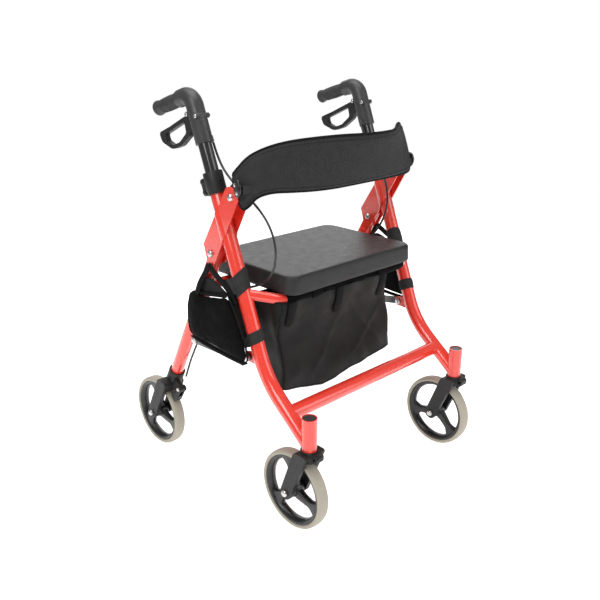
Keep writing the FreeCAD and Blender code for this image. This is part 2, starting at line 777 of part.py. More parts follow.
def handle_corner():
    """Where the post's axis and the grip's axis meet."""
    grip_slope = 0.29
    lean = math.tan(math.radians(dim("lean")))
    z = 848.7 - grip_slope * (dim("leg_ref_y") - lean * dim("leg_ref_z") - 128.3)
    z = z / (1 + grip_slope * lean)
    return leg_point(z)


def grip_point(y):
    return y, 848.7 - 0.29 * (y - 128.3)


def handle_post(name, side):
    y, z = leg_point(520)
    top_y, top_z = leg_point(792)
    length = math.hypot(top_y - y, top_z - z)
    base = (side * dim("leg_plane"), y, z)
    tube = cut(cylinder("dims.post_od / 2", length, base, leg_direction()),
               cylinder("dims.post_bore / 2", length, base, leg_direction()))
    name_part(tube, name + "_handle_post")


def handle_body(name, side):
    """The moulded elbow that takes the post below and the grip behind, slotted for the brake lever."""
    x = side * dim("leg_plane")
    foot_y, foot_z = leg_point(774)
    neck_y, neck_z = grip_point(96)
    corner_y, corner_z = handle_corner()
    elbow = pipe([(x, foot_y, foot_z), (x, corner_y, corner_z), (x, neck_y, neck_z)], 27, "dims.body_radius")
    core_y, core_z = grip_point(172)
    neck_axis = Vector(0, core_y - neck_y, core_z - neck_z)
    core = cylinder(9, neck_axis.Length, (x, neck_y, neck_z), neck_axis)
    boss_y, boss_z = leg_point(776)
    boss = cylinder(4, 12, (x - side * 20, boss_y, boss_z), leg_direction())
    ears = [cross_pin(5.5, x - 15.9, x + 15.9, y, z) for y, z in handle_screw_places()]
    bore_y, bore_z = leg_point(770)
    top_y, top_z = leg_point(792)
    post_space = cylinder("dims.post_od / 2", math.hypot(top_y - bore_y, top_z - bore_z),
                          (x, bore_y, bore_z), leg_direction())
    half_slot = dim("lever_width") / 2 + 0.4
    slot = box((x - half_slot, 44, 784), (x + half_slot, 96, 846))
    pins = [cross_pin(2.5, x - 30, x + 30, y, z) for y, z in handle_screw_places()]
    solid = fuse(elbow, core, boss, *ears)
    name_part(cut(solid, fuse(post_space, slot, *pins)), name + "_handle_body")


def handle_screw_places():
    return (dim("lever_pivot_y"), dim("lever_pivot_z")), (26.5, 829)


def handle_screws(name, side):
    """The lever's pivot pin and the screw that closes the moulding."""
    x = side * dim("leg_plane")
    pins = []
    for y, z in handle_screw_places():
        rod = cross_pin(2.5, x - 16, x + 16, y, z)
        pins.append(fuse(rod, bolt_head(x - 16, -1, y, z, 4.2, 3), bolt_head(x + 16, 1, y, z, 4.2, 3)))
    name_part(group(*pins), name + "_handle_screws")


def grip(name, side):
    """A ribbed rubber grip with a flange at its front end."""
    x = side * dim("leg_plane")
    start_y, start_z = grip_point(96)
    end_y, end_z = grip_point(178)
    axis = Vector(0, end_y - start_y, end_z - start_z)
    base = Vector(x, start_y, start_z)
    sleeve = cylinder("dims.grip_radius", axis.Length, base, axis)
    flange = cylinder("dims.grip_radius + 3.5", 4, base, axis)
    swell = cylinder("dims.grip_radius + 1.2", 20, base + axis.normalize() * 12, axis)
    core_y, core_z = grip_point(172)
    core = cylinder(9, math.hypot(core_y - start_y, core_z - start_z), base, axis)
    name_part(cut(fuse(sleeve, flange, swell), core), name + "_grip")


def brake_lever(name, side):
    """A loop lever that turns on the pin in the handle body."""
    outer = [(51, 838), (74, 826), (137, 798), (176, 783), (166, 764), (128, 752), (96, 762),
             (64, 786), (50, 808)]
    outer_radii = [6, 60, 60, 7, 16, 30, 30, 14, 14]
    hole = [(81, 813), (133, 790), (154, 781), (148, 768), (127, 761), (101, 769.5), (75, 791)]
    hole_radii = [4, 50, 5, 9, 22, 22, 8]
    x = side * dim("leg_plane")
    loop = side_plate([(outer, outer_radii), (hole, hole_radii)], "dims.lever_width", x)
    pin_space = cross_pin(2.55, x - 20, x + 20, dim("lever_pivot_y"), dim("lever_pivot_z"))
    name_part(cut(loop, pin_space), name + "_brake_lever")


# ---------------------------------------------------------------- casters and wheels

def caster_fork(name, side):
    """A moulded fork whose collar runs under the head tube, with its stem up through the bushes."""
    x, y = side * dim("leg_plane"), -dim("hub_y") - dim("caster_trail")
    hub_y, hub_z = -dim("hub_y"), dim("wheel_radius")
    bottom = dim("head_bottom_z")
    collar = cone("dims.crown_radius", "dims.collar_radius", 17, (x, y, bottom - 14))
    crown = cylinder("dims.crown_radius", 5, (x, y, bottom - 19))
    arm = [(-304, 195), (-268, 195), (-224.2, 80), (-250.7, 68.4)]
    arm_middle = dim("arm_inside") + dim("arm_thickness") / 2
    arms = [side_plate([(arm, [4, 10, 13.9, 13.9])], "dims.arm_thickness", x + way * arm_middle)
            for way in (-1, 1)]
    bridge_outline = [(-304, 195), (-268, 195), (-261.5, 178), (-296.8, 178)]
    bridge = side_plate([(bridge_outline, [4, 10, 0, 0])], 2 * (dim("arm_inside") + dim("arm_thickness")), x)
    lug = side_plate([([(-318, 197), (-298, 197), (-298, 177), (-315, 179)], [7, 0, 0, 7])], 20, x)
    stem = cylinder("dims.stem_radius", 66, (x, y, bottom - 6))
    head_space = cylinder("dims.tube_od / 2 + 0.5", 30, (x, y, bottom - 0.6))
    lock_hole = cross_pin(4, x - 30, x + 30, -309, 188)
    axle_hole = cross_pin("dims.axle_radius", x - 40, x + 40, hub_y, hub_z)
    tyre_space = cross_pin("dims.wheel_radius + 2.5", x - 17.5, x + 17.5, hub_y, hub_z)
    solid = fuse(collar, crown, bridge, lug, *arms)
    hollow = cut(solid, fuse(head_space, lock_hole, axle_hole, tyre_space))
    name_part(fuse(hollow, stem), name + "_caster_fork")


def caster_axle(name, side):
    x = side * dim("leg_plane")
    spread = dim("arm_inside") + dim("arm_thickness")
    axle = through_bolt(x - spread, x + spread, -dim("hub_y"), dim("wheel_radius"), "dims.axle_radius")
    name_part(axle, name + "_caster_axle")


def wheel(label, x, y):
    """A black wheel with a hub, a web with three rounded windows, and a rim."""
    def disc(radius, half_width):
        return cross_pin(radius, x - half_width, x + half_width, y, dim("wheel_radius"))

    rim = cut(disc("dims.rim_radius", dim("rim_width") / 2), disc("dims.rim_inner_radius", dim("rim_width")))
    blank = fuse(rim, disc("dims.rim_inner_radius + 1", dim("web_width") / 2),
                 disc("dims.hub_radius", dim("hub_width") / 2))
    windows = []
    for turn in (0, 120, 240):
        corners = [polar(24, turn), polar(58, turn - 42), polar(63.5, turn), polar(58, turn + 42)]
        outline = [(y + across, dim("wheel_radius") + up) for across, up in corners]
        windows.append(side_plate([(outline, [7, 12, 34, 12])], 40, x))
    bore = disc("dims.axle_radius + dims.pin_clearance", 30)
    name_part(cut(blank, fuse(bore, *windows)), label)


def polar(radius, angle):
    return radius * math.cos(math.radians(angle)), radius * math.sin(math.radians(angle))


def tyre(label, x, y):
    """A solid tyre with rounded shoulders."""
    half, outer, inner = dim("tyre_width") / 2, dim("wheel_radius"), dim("rim_radius")
    half_rim = dim("rim_width") / 2
    profile = [(-half_rim, inner), (half_rim, inner), (half, inner + 1.5), (half, outer), (-half, outer),
               (-half, inner + 1.5)]
    body = new_body()
    turned = body.newObject("PartDesign::Revolution", "turned")
    turned.Profile = sketch_on(body, "XY_Plane", [(profile, [0, 0, 1, 6, 6, 1])])
    turned.ReferenceAxis = (turned.Profile[0], ["H_Axis"])
    turned.Angle = 360
    body.Placement.Base = Vector(x, y, outer)
    name_part(body, label)


def wheels():
    for name, side in SIDES:
        front_x, rear_x = side * dim("leg_plane"), side * dim("rear_wheel_plane")
        wheel(name + "_front_wheel", front_x, -dim("hub_y"))
        tyre(name + "_front_tyre", front_x, -dim("hub_y"))
        wheel(name + "_rear_wheel", rear_x, dim("hub_y"))
        tyre(name + "_rear_tyre", rear_x, dim("hub_y"))


# ---------------------------------------------------------------- assembly

def build():
    for name, side in SIDES:
        front_leg(name, side)
        head_tube(name, side)
        gusset_plates(name, side)
        height_clamp(name, side)
        clamp_knob(name, side)
        side_pocket(name, side)
        brake_cable(name, side)
        rear_leg(name, side)
        rear_fork(name, side)
        brake_shoe(name, side)
        backrest_bracket(name, side)
        handle_post(name, side)
        handle_body(name, side)
        handle_screws(name, side)
        grip(name, side)
        brake_lever(name, side)
        caster_fork(name, side)
        caster_axle(name, side)
    front_crossbar()
    seat_tube()
    headset_plastics()
    frame_bolts()
    leg_straps()
    underseat_bag()
    rear_crossbar()
    rear_bolts()
    side_braces()
    seat()
    seat_clips()
    backrest_pad()
    wheels()


def check_and_export():
    DOC.recompute()
    failed = [obj.Name for obj in DOC.Objects if {"Invalid", "Error"} & set(obj.State)]
    if failed:
        raise RuntimeError("failed objects: " + ", ".join(failed))
    os.makedirs("parts", exist_ok=True)
    for part in PARTS:
        if part.Shape.isNull() or not part.Shape.isValid():
            raise RuntimeError("bad shape: " + part.Label)
    for part in PARTS:
        part.Shape.exportStep("parts/%s.step" % part.Label)
    print(len(PARTS), "parts")


build()
check_and_export()
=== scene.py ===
import json
import math

import bmesh
import bpy
from mathutils import Euler, Matrix, Vector, noise


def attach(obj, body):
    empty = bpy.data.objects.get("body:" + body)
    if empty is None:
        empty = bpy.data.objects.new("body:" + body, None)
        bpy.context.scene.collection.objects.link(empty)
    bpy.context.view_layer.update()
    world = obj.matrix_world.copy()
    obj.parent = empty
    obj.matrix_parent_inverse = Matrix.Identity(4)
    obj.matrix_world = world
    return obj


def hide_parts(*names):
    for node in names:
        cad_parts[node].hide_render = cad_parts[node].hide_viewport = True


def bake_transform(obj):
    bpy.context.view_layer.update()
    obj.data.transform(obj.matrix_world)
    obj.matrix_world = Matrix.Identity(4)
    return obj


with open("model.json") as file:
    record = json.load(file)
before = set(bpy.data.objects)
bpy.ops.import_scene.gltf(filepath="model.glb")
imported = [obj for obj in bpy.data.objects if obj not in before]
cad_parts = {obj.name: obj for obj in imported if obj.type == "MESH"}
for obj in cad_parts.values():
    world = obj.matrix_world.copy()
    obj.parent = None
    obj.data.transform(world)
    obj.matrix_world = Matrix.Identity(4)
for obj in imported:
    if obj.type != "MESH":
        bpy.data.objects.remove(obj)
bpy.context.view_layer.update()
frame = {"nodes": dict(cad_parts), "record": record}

SIDES = (("right", -1), ("left", 1))
# Millimetres, as in the mesh helpers.
LEG_X = 248.0
LEG_RADIUS = 15.9
LEAN = math.radians(21)
AXLE_Z = 87.5
SEAT_MIDDLE_Y = -39.6
SEAT_HALF = (195, 139.2)
BAG_LEVELS = 40
BAG_TOP, BAG_FOOT = {"front": 464, "rear": 456}, {"front": 256, "rear": 262}
POCKET_X = 279


# ---------------------------------------------------------------- mesh helpers (sizes in millimetres)

class Shape:
    """Vertices and faces that a piece is made of."""

    def __init__(self):
        self.verts = []
        self.faces = []

    def rings(self, rings, around=True, along=False, caps=(True, True)):
        """Joins rings of points, each with the same count, into a skin."""
        start, count = len(self.verts), len(rings[0])
        for ring in rings:
            self.verts.extend(Vector(point) for point in ring)
        last_row = len(rings) if along else len(rings) - 1
        last_column = count if around else count - 1
        for row in range(last_row):
            for column in range(last_column):
                a, b = start + row * count, start + (row + 1) % len(rings) * count
                after = (column + 1) % count
                self.faces.append((a + column, a + after, b + after, b + column))
        if around and not along:
            if caps[0]:
                self.faces.append(tuple(start + index for index in range(count)))
            if caps[1]:
                last = start + (len(rings) - 1) * count
                self.faces.append(tuple(last + index for index in range(count)))
        return self

    def move(self, matrix, first=0):
        for index in range(first, len(self.verts)):
            self.verts[index] = matrix @ self.verts[index]
        return self


def piece(name, shape, body, material, replaces=(), levels=0, sharp=35, solid=0.0):
    """Makes an object from a shape, gives it its material, and rides it on a body, if one is named."""
    mesh = bpy.data.meshes.new(name)
    mesh.from_pydata([vert / 1000 for vert in shape.verts], [], shape.faces)
    work = bmesh.new()
    work.from_mesh(mesh)
    bmesh.ops.remove_doubles(work, verts=work.verts, dist=1e-6)
    bmesh.ops.recalc_face_normals(work, faces=work.faces)
    for face in work.faces:
        face.smooth = True
    work.to_mesh(mesh)
    work.free()
    mesh.set_sharp_from_angle(angle=math.radians(sharp))
    obj = bpy.data.objects.new(name, mesh)
    bpy.context.scene.collection.objects.link(obj)
    obj.data.materials.append(material)
    if solid:
        thick = obj.modifiers.new("thick", "SOLIDIFY")
        thick.thickness = solid / 1000
        thick.offset = 0
    if levels:
        smooth = obj.modifiers.new("smooth", "SUBSURF")
        smooth.levels = smooth.render_levels = levels
    if body:
        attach(obj, body)
    if replaces:
        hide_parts(*replaces)
    return obj


def puff(obj, voxel, pressure, most):
    """Swells a closed piece with Cloth from a slightly smaller shape, and keeps the result as its mesh."""
    remesh = obj.modifiers.new("remesh", "REMESH")
    remesh.mode = "VOXEL"
    remesh.voxel_size = voxel / 1000
    graph = bpy.context.evaluated_depsgraph_get()
    mesh = bpy.data.meshes.new_from_object(obj.evaluated_get(graph))
    obj.modifiers.clear()
    obj.data = mesh
    start = [vert.co.copy() for vert in mesh.vertices]
    cloth = obj.modifiers.new("cloth", "CLOTH")
    settings = cloth.settings
    settings.quality = 6
    settings.mass = 0.2
    settings.tension_stiffness = settings.compression_stiffness = settings.shear_stiffness = 12
    settings.bending_stiffness = 0.4
    settings.use_pressure = True
    settings.uniform_pressure_force = pressure
    settings.effector_weights.gravity = 0
    for number in range(1, 21):
        bpy.context.scene.frame_set(number)
    graph = bpy.context.evaluated_depsgraph_get()
    swollen = [vert.co.copy() for vert in obj.evaluated_get(graph).data.vertices]
    obj.modifiers.remove(cloth)
    bpy.context.scene.frame_set(1)
    for vert, before, after in zip(mesh.vertices, start, swollen):
        move = after - before
        vert.co = before + move * min(1, most / 1000 / max(move.length, 1e-9))
    mesh.shade_smooth()
    smooth = obj.modifiers.new("smooth", "SUBSURF")
    smooth.levels = smooth.render_levels = 1


def spline(points, steps):
    """Points on a smooth curve through the given points."""
    points = [Vector(point) for point in points]
    padded = [points[0] * 2 - points[1]] + points + [points[-1] * 2 - points[-2]]
    result = []
    for index in range(1, len(padded) - 2):
        a, b, c, d = padded[index - 1:index + 3]
        for step in range(steps):
            t = step / steps
            result.append(0.5 * (2 * b + (c - a) * t + (2 * a - 5 * b + 4 * c - d) * t * t
                                 + (3 * b - a - 3 * c + d) * t ** 3))
    result.append(points[-1])
    return result


def tube(shape, points, radius, up=(1, 0, 0), sides=24):
    """A round skin along a path."""
    rings = []
    for index, point in enumerate(points):
        tangent = points[min(index + 1, len(points) - 1)] - points[max(index - 1, 0)]
        tangent.normalize()
        side = tangent.cross(Vector(up)).normalized()
        high = side.cross(tangent).normalized()
        rings.append([point + side * (radius * math.cos(a)) + high * (radius * math.sin(a))
                      for a in turns(sides)])
    return shape.rings(rings)


def closed_tube(shape, points, radius, up, stretch=1.0, sides=8):
    """A bead along a closed path, stretched in the upward direction."""
    rings = []
    for index, point in enumerate(points):
        tangent = (points[(index + 1) % len(points)] - points[index - 1]).normalized()
        out = tangent.cross(Vector(up)).normalized()
        high = out.cross(tangent) * stretch
        rings.append([point + out * (radius * math.cos(a)) + high * (radius * math.sin(a))
                      for a in turns(sides)])
    return shape.rings(rings, along=True)


def turns(count):
    """Evenly spaced angles round a circle."""
    return [2 * math.pi * index / count for index in range(count)]


def lathe(shape, profile, centre, axis="X", sides=96, closed=False):
    """A profile of (along, radius) pairs turned about an axis through centre."""
    rings = []
    for along, radius in profile:
        ring = []
        for angle in turns(sides):
            c, s = radius * math.cos(angle), radius * math.sin(angle)
            offset = {"X": (along, c, s), "Y": (c, along, s)}[axis]
            ring.append(Vector(centre) + Vector(offset))
        rings.append(ring)
    return shape.rings(rings, along=closed)


def ribbon(shape, points, normal, width, thickness, across=None):
    """A flat strap along a path; its width may vary from point to point."""
    rings = []
    normal = Vector(normal).normalized()
    for index, point in enumerate(points):
        tangent = (points[min(index + 1, len(points) - 1)] - points[max(index - 1, 0)]).normalized()
        side = Vector(across) if across else tangent.cross(normal).normalized()
        wide = width if isinstance(width, (int, float)) else width[index]
        half, thick = side * (wide / 2), normal * (thickness / 2)
        lip = side * (wide / 2 - thickness * 0.3)
        rings.append([point - half, point - lip + thick, point + lip + thick,
                      point + half, point + lip - thick, point - lip - thick])
    return shape.rings(rings)


def dense(ring, longest=9):
    """The same closed ring with its long runs divided."""
    result = []
    for index, point in enumerate(ring):
        after = ring[(index + 1) % len(ring)]
        parts = max(1, round((after - point).length / longest))
        result.extend(point.lerp(after, part / parts) for part in range(parts))
    return result


def resample(ring, count):
    """The same closed ring with a set number of evenly spaced points."""
    lengths = [0.0]
    for index in range(len(ring)):
        lengths.append(lengths[-1] + (ring[(index + 1) % len(ring)] - ring[index]).length)
    total, result, at = lengths[-1], [], 0
    for index in range(count):
        target = total * index / count
        while lengths[at + 1] < target:
            at += 1
        t = (target - lengths[at]) / max(lengths[at + 1] - lengths[at], 1e-9)
        result.append(ring[at].lerp(ring[(at + 1) % len(ring)], t))
    return result


def leg_axis(z):
    """The point of the front leg's straight upper run at a height, in the plane of the leg."""
    return Vector((0, 18.8 + math.tan(LEAN) * (z - 770), z))


def lean_matrix(side, z):
    """The frame of the front leg at a height: local Z runs up along the leg."""
    base = leg_axis(z) + Vector((side * LEG_X, 0, 0))
    return Matrix.Translation(base) @ Matrix.Rotation(-LEAN, 4, "X")


def smoothstep(low, high, value):
    t = min(max((value - low) / (high - low), 0.0), 1.0)
    return t * t * (3 - 2 * t)


# ---------------------------------------------------------------- materials

def new_material(name, colour, rough, metallic=0.0, coat=0.0, sheen=0.0, specular=0.5):
    mat = bpy.data.materials.new(name)
    mat.use_nodes = True
    shader = mat.node_tree.nodes["Principled BSDF"]
    shader.inputs["Base Color"].default_value = (*colour, 1)
    shader.inputs["Roughness"].default_value = rough
    shader.inputs["Metallic"].default_value = metallic
    shader.inputs["Coat Weight"].default_value = coat
    shader.inputs["Coat Roughness"].default_value = 0.08
    shader.inputs["Sheen Weight"].default_value = sheen
    shader.inputs["Sheen Roughness"].default_value = 0.45
    shader.inputs["Specular IOR Level"].default_value = specular
    return mat


def node(mat, kind, **inputs):
    made = mat.node_tree.nodes.new(kind)
    for key, value in inputs.items():
        made.inputs[key].default_value = value
    return made


def link(mat, source, output, target, socket):
    mat.node_tree.links.new(source.outputs[output], target.inputs[socket])


def shader_of(mat):
    return mat.node_tree.nodes["Principled BSDF"]


def placed(mat, kind, **inputs):
    """A node that takes its place from the object's own coordinates."""
    made = node(mat, kind, **inputs)
    link(mat, node(mat, "ShaderNodeTexCoord"), "Object", made, "Vector")
    return made


def vary_colour(mat, colour, other, scale, contrast=0.25):
    """Soft patches of a second colour over the first."""
    patches = placed(mat, "ShaderNodeTexNoise", Scale=scale, Detail=5, Roughness=0.6)
    ramp = mat.node_tree.nodes.new("ShaderNodeValToRGB")
    ramp.color_ramp.elements[0].position = 0.5 - contrast
    ramp.color_ramp.elements[1].position = 0.5 + contrast
    ramp.color_ramp.elements[0].color = (*colour, 1)
    ramp.color_ramp.elements[1].color = (*other, 1)
    link(mat, patches, "Fac", ramp, "Fac")
    link(mat, ramp, "Color", shader_of(mat), "Base Color")


def vary_roughness(mat, low, high, scale):
    """Patches of two roughnesses."""
    patches = placed(mat, "ShaderNodeTexNoise", Scale=scale, Detail=6, Roughness=0.65)
    span = node(mat, "ShaderNodeMapRange")
    span.inputs["From Min"].default_value = 0.3
    span.inputs["From Max"].default_value = 0.7
    span.inputs["To Min"].default_value = low
    span.inputs["To Max"].default_value = high
    link(mat, patches, "Fac", span, "Value")
    link(mat, span, "Result", shader_of(mat), "Roughness")


def add_bump(mat, height, output, strength, distance):
    """Adds a bump to the ones that the shader has already."""
    bump = node(mat, "ShaderNodeBump", Strength=strength, Distance=distance)
    link(mat, height, output, bump, "Height")
    previous = shader_of(mat).inputs["Normal"].links
    if previous:
        mat.node_tree.links.new(previous[0].from_socket, bump.inputs["Normal"])
    link(mat, bump, "Normal", shader_of(mat), "Normal")


def noise_bump(mat, scale, strength, distance, detail=3):
    grain = placed(mat, "ShaderNodeTexNoise", Scale=scale, Detail=detail, Roughness=0.6)
    add_bump(mat, grain, "Fac", strength, distance)


def cell_bump(mat, scale, strength, distance):
    """The creases of grained vinyl or leather."""
    cells = placed(mat, "ShaderNodeTexVoronoi", Scale=scale)
    cells.feature = "DISTANCE_TO_EDGE"
    span = node(mat, "ShaderNodeMapRange")
    span.inputs["From Max"].default_value = 0.18
    link(mat, cells, "Distance", span, "Value")
    add_bump(mat, span, "Result", strength, distance)


def weave_bump(mat, pitch, strength, distance):
    """Crossing threads, pitch millimetres apart: one set upright, the other level."""
    heights = []
    for turn in ((0, 0, math.radians(45)), (0, math.radians(-90), 0)):
        mapping = placed(mat, "ShaderNodeMapping", Rotation=turn)
        wave = node(mat, "ShaderNodeTexWave", Scale=1000 / (pitch * 6.4), Distortion=0.6, Detail=1.0)
        link(mat, mapping, "Vector", wave, "Vector")
        heights.append(wave)
    both = node(mat, "ShaderNodeMath")
    both.operation = "MULTIPLY"
    for index, wave in enumerate(heights):
        mat.node_tree.links.new(wave.outputs["Fac"], both.inputs[index])
    add_bump(mat, both, "Value", strength, distance)


# Each finish: its colour, its roughness, its other shader settings, and the steps that give it detail.
FINISHES = {
    "frame_red": ((0.79, 0.040, 0.021), 0.30, {"coat": 1.0}, (
        (vary_colour, (0.80, 0.042, 0.022), (0.76, 0.036, 0.018), 9),
        (vary_roughness, 0.20, 0.30, 40),
        (noise_bump, 260, 0.035, 0.0006))),
    "post_black": ((0.012, 0.012, 0.013), 0.16, {"coat": 0.8}, (
        (vary_roughness, 0.12, 0.26, 60),
        (noise_bump, 300, 0.02, 0.0004))),
    "dark_plastic": ((0.013, 0.013, 0.013), 0.42, {"specular": 0.30}, (
        (vary_colour, (0.012, 0.012, 0.012), (0.020, 0.020, 0.020), 30),
        (vary_roughness, 0.40, 0.56, 80),
        (noise_bump, 1100, 0.16, 0.0003))),
    # The handle's own lighter grey; on the headset plastics it is painted light, for their tops that face up.
    "handle_plastic_and_painted_light": ((0.034, 0.034, 0.035), 0.38, {}, (
        (vary_colour, (0.032, 0.032, 0.033), (0.044, 0.044, 0.045), 30),
        (vary_roughness, 0.34, 0.48, 80),
        (noise_bump, 1100, 0.14, 0.0003))),
    "wheel_plastic": ((0.006, 0.006, 0.006), 0.27, {}, (
        (vary_colour, (0.006, 0.006, 0.006), (0.011, 0.011, 0.011), 35),
        (vary_roughness, 0.23, 0.36, 70),
        (noise_bump, 900, 0.12, 0.0003))),
    "tyre": ((0.43, 0.39, 0.31), 0.66, {}, (
        (vary_colour, (0.45, 0.41, 0.335), (0.31, 0.285, 0.23), 420, 0.3),
        (vary_roughness, 0.55, 0.72, 90),
        (noise_bump, 500, 0.12, 0.0005, 5))),
    "strap": ((0.022, 0.022, 0.022), 0.8, {"specular": 0.2}, (
        (vary_colour, (0.020, 0.020, 0.020), (0.034, 0.034, 0.033), 90),
        (weave_bump, 2.0, 0.7, 0.0006))),
    # A darker copy of the black nylon, as painted shade: for the cloth and clips that lie in shade.
    "painted_shade_black": ((0.003, 0.003, 0.003), 0.85, {"specular": 0.08}, (
        (weave_bump, 1.1, 0.4, 0.0003),
        (vary_colour, (0.003, 0.003, 0.003), (0.006, 0.006, 0.006), 60),
        (vary_roughness, 0.8, 0.95, 50))),
    "grip_rubber": ((0.026, 0.026, 0.028), 0.62, {}, (
        (vary_colour, (0.022, 0.022, 0.024), (0.036, 0.036, 0.038), 40),
        (noise_bump, 1300, 0.22, 0.0003))),
    "steel": ((0.62, 0.62, 0.61), 0.28, {"metallic": 1.0}, (
        (vary_colour, (0.66, 0.66, 0.65), (0.52, 0.52, 0.52), 120),
        (vary_roughness, 0.20, 0.40, 260))),
    "vinyl": ((0.012, 0.012, 0.012), 0.44, {"specular": 0.36}, (
        (vary_colour, (0.012, 0.012, 0.012), (0.019, 0.019, 0.019), 14),
        (vary_roughness, 0.38, 0.50, 50),
        (cell_bump, 520, 0.42, 0.0004),
        (noise_bump, 1500, 0.12, 0.0002))),
    "board": ((0.018, 0.018, 0.019), 0.6, {}, (
        (noise_bump, 900, 0.1, 0.0003),)),
    "band": ((0.015, 0.015, 0.015), 0.80, {"sheen": 0.03, "specular": 0.3}, (
        (vary_colour, (0.016, 0.016, 0.016), (0.026, 0.026, 0.026), 60, 0.3),
        (weave_bump, 1.8, 0.5, 0.0005),
        (noise_bump, 700, 0.2, 0.0004))),
    "nylon": ((0.005, 0.005, 0.005), 0.46, {"specular": 0.16}, (
        (vary_colour, (0.005, 0.005, 0.005), (0.010, 0.010, 0.010), 22, 0.3),
        (vary_roughness, 0.40, 0.58, 30),
        (weave_bump, 1.1, 0.35, 0.0003))),
    "webbing": ((0.004, 0.004, 0.004), 0.75, {"specular": 0.13}, (
        (weave_bump, 2.0, 0.7, 0.0006),
        (vary_colour, (0.004, 0.004, 0.004), (0.008, 0.008, 0.008), 80))),
    "cable": ((0.010, 0.010, 0.010), 0.34, {"coat": 0.3}, (
        (vary_roughness, 0.28, 0.42, 120),
        (noise_bump, 700, 0.05, 0.0002))),
}


def make_materials():
    made = {}
    for name, (colour, rough, settings, steps) in FINISHES.items():
        made[name] = new_material(name, colour, rough, **settings)
        for step, *values in steps:
            step(made[name], *values)
    return made


MATS = make_materials()

# How far the edges of each kind of CAD piece are rounded, in millimetres.
EDGES = {"brake_lever": 2.6, "caster_fork": 2.6, "rear_fork": 2.4, "height_clamp": 1.2, "clamp_knob": 2.4,
         "handle_body": 0.8, "backrest_bracket": 2.0, "plate": 0.8, "brake_shoe": 1.2, "links": 0.8,
         "leg": 0.4, "seat_board": 1.0, "seat_clips": 1.0, "screws": 0.3, "axle": 0.3, "bolts": 0.3}


def dress_frame():
    """Gives every CAD node that stays its material, and softens its edges."""
    slots = {entry["node"]: entry["material_slot"] for entry in frame["record"]["subparts"]}
    # The headset plastics get the lighter handle grey as painted light on their up-facing tops; the seat
    # clips get the darkest black as painted shade, under the seat.
    finish = {"handle_body": "handle_plastic_and_painted_light", "headset_plastics": "handle_plastic_and_painted_light", "seat_clips": "painted_shade_black"}
    for name, obj in frame["nodes"].items():
        material = MATS[next((finish[end] for end in finish if name.endswith(end)), slots[name])]
        if obj.material_slots:
            for entry in obj.material_slots:
                entry.material = material
        else:
            obj.data.materials.append(material)
        width = next((size for ending, size in EDGES.items() if name.endswith(ending)), 0)
        if width:
            join = obj.modifiers.new("join", "WELD")
            join.merge_threshold = 1e-6
            edge = obj.modifiers.new("edge", "BEVEL")
            edge.width = width / 1000
            edge.segments = 3
            edge.limit_method = "ANGLE"
            edge.angle_limit = math.radians(40)


# ---------------------------------------------------------------- wheels

def wheel(name, side, x, y, body):
    """A black wheel with a deep rim and three curved spokes, and its pale tyre.

    Each profile is pairs of a distance along the axle and a radius.
    """
    centre = (x, y, AXLE_Z)
    rim = [(-11.5, 78.2), (-12, 76.5), (-11.4, 73.5), (-8.5, 70), (-4.5, 67.4), (0, 66.6),
           (4.5, 67.4), (8.5, 70), (11.4, 73.5), (12, 76.5), (11.5, 78.2)]
    hub = [(-15.4, 4.2), (-15.4, 12.5), (-14, 14.5), (-7, 16.5), (0, 17), (7, 16.5), (14, 14.5),
           (15.4, 12.5), (15.4, 4.2)]
    shape = lathe(Shape(), rim, centre, closed=True)
    lathe(shape, hub, centre, sides=64, closed=True)
    for turn in range(3):
        rings = []
        for step in range(15):
            t = step / 14
            radius = 13 + t * 56
            angle = math.radians(120 * turn + 90 + side * (26 * t - 13 * t * t))
            wide = 8.6 + 3.0 * (1 - t) ** 2 + 15 * max(0, t - 0.62) ** 1.5 * 4
            deep = 5.5 + 4.0 * (1 - t) ** 2 + 2.2 * t ** 3
            out = Vector((0, math.cos(angle), math.sin(angle)))
            along = Vector((0, -math.sin(angle), math.cos(angle)))
            middle = Vector(centre) + out * radius
            ring = []
            for corner in turns(16):
                c, s = math.cos(corner), math.sin(corner)
                u = math.copysign(abs(c) ** 0.55, c) * wide
                v = math.copysign(abs(s) ** 0.55, s) * deep
                ring.append(middle + along * u + Vector((v, 0, 0)))
            rings.append(ring)
        shape.rings(rings)
    piece(name + "_wheel_visual", shape, body, MATS["wheel_plastic"],
          (name + "_wheel",), sharp=50)
    tread = [(-11.6, 78), (-13, 78.6), (-13.9, 80.2), (-14, 82), (-13.3, 84.4), (-11.2, 86.2), (-7.6, 87.15),
             (-3, 87.45), (3, 87.45), (7.6, 87.15), (11.2, 86.2), (13.3, 84.4), (14, 82), (13.9, 80.2),
             (13, 78.6), (11.6, 78)]
    piece(name + "_tyre_visual", lathe(Shape(), tread, centre, sides=128, closed=True), body, MATS["tyre"],
          (name + "_tyre",), sharp=60)


def wheels():
    for name, side in SIDES:
        wheel(name + "_front", side, side * LEG_X, -243.25, name + "_front_wheel")
        wheel(name + "_rear", side, side * 258, 243.25, name + "_rear_wheel")


# ---------------------------------------------------------------- seat

def rounded_rectangle(x_half, y_front, y_rear, front, rear, steps):
    """A plan outline with one radius at its front corners and another at its rear ones."""
    corners = ((-1, y_front, 1, front, 180), (1, y_front, 1, front, 270),
               (1, y_rear, -1, rear, 0), (-1, y_rear, -1, rear, 90))
    ring = []
    for way, y_edge, inward, radius, start in corners:
        x, y = way * (x_half - radius), y_edge + inward * radius
        for step in range(steps + 1):
            angle = math.radians(start + 90 * step / steps)
            ring.append(Vector((x + radius * math.cos(angle), y + radius * math.sin(angle), 0)))
    return ring


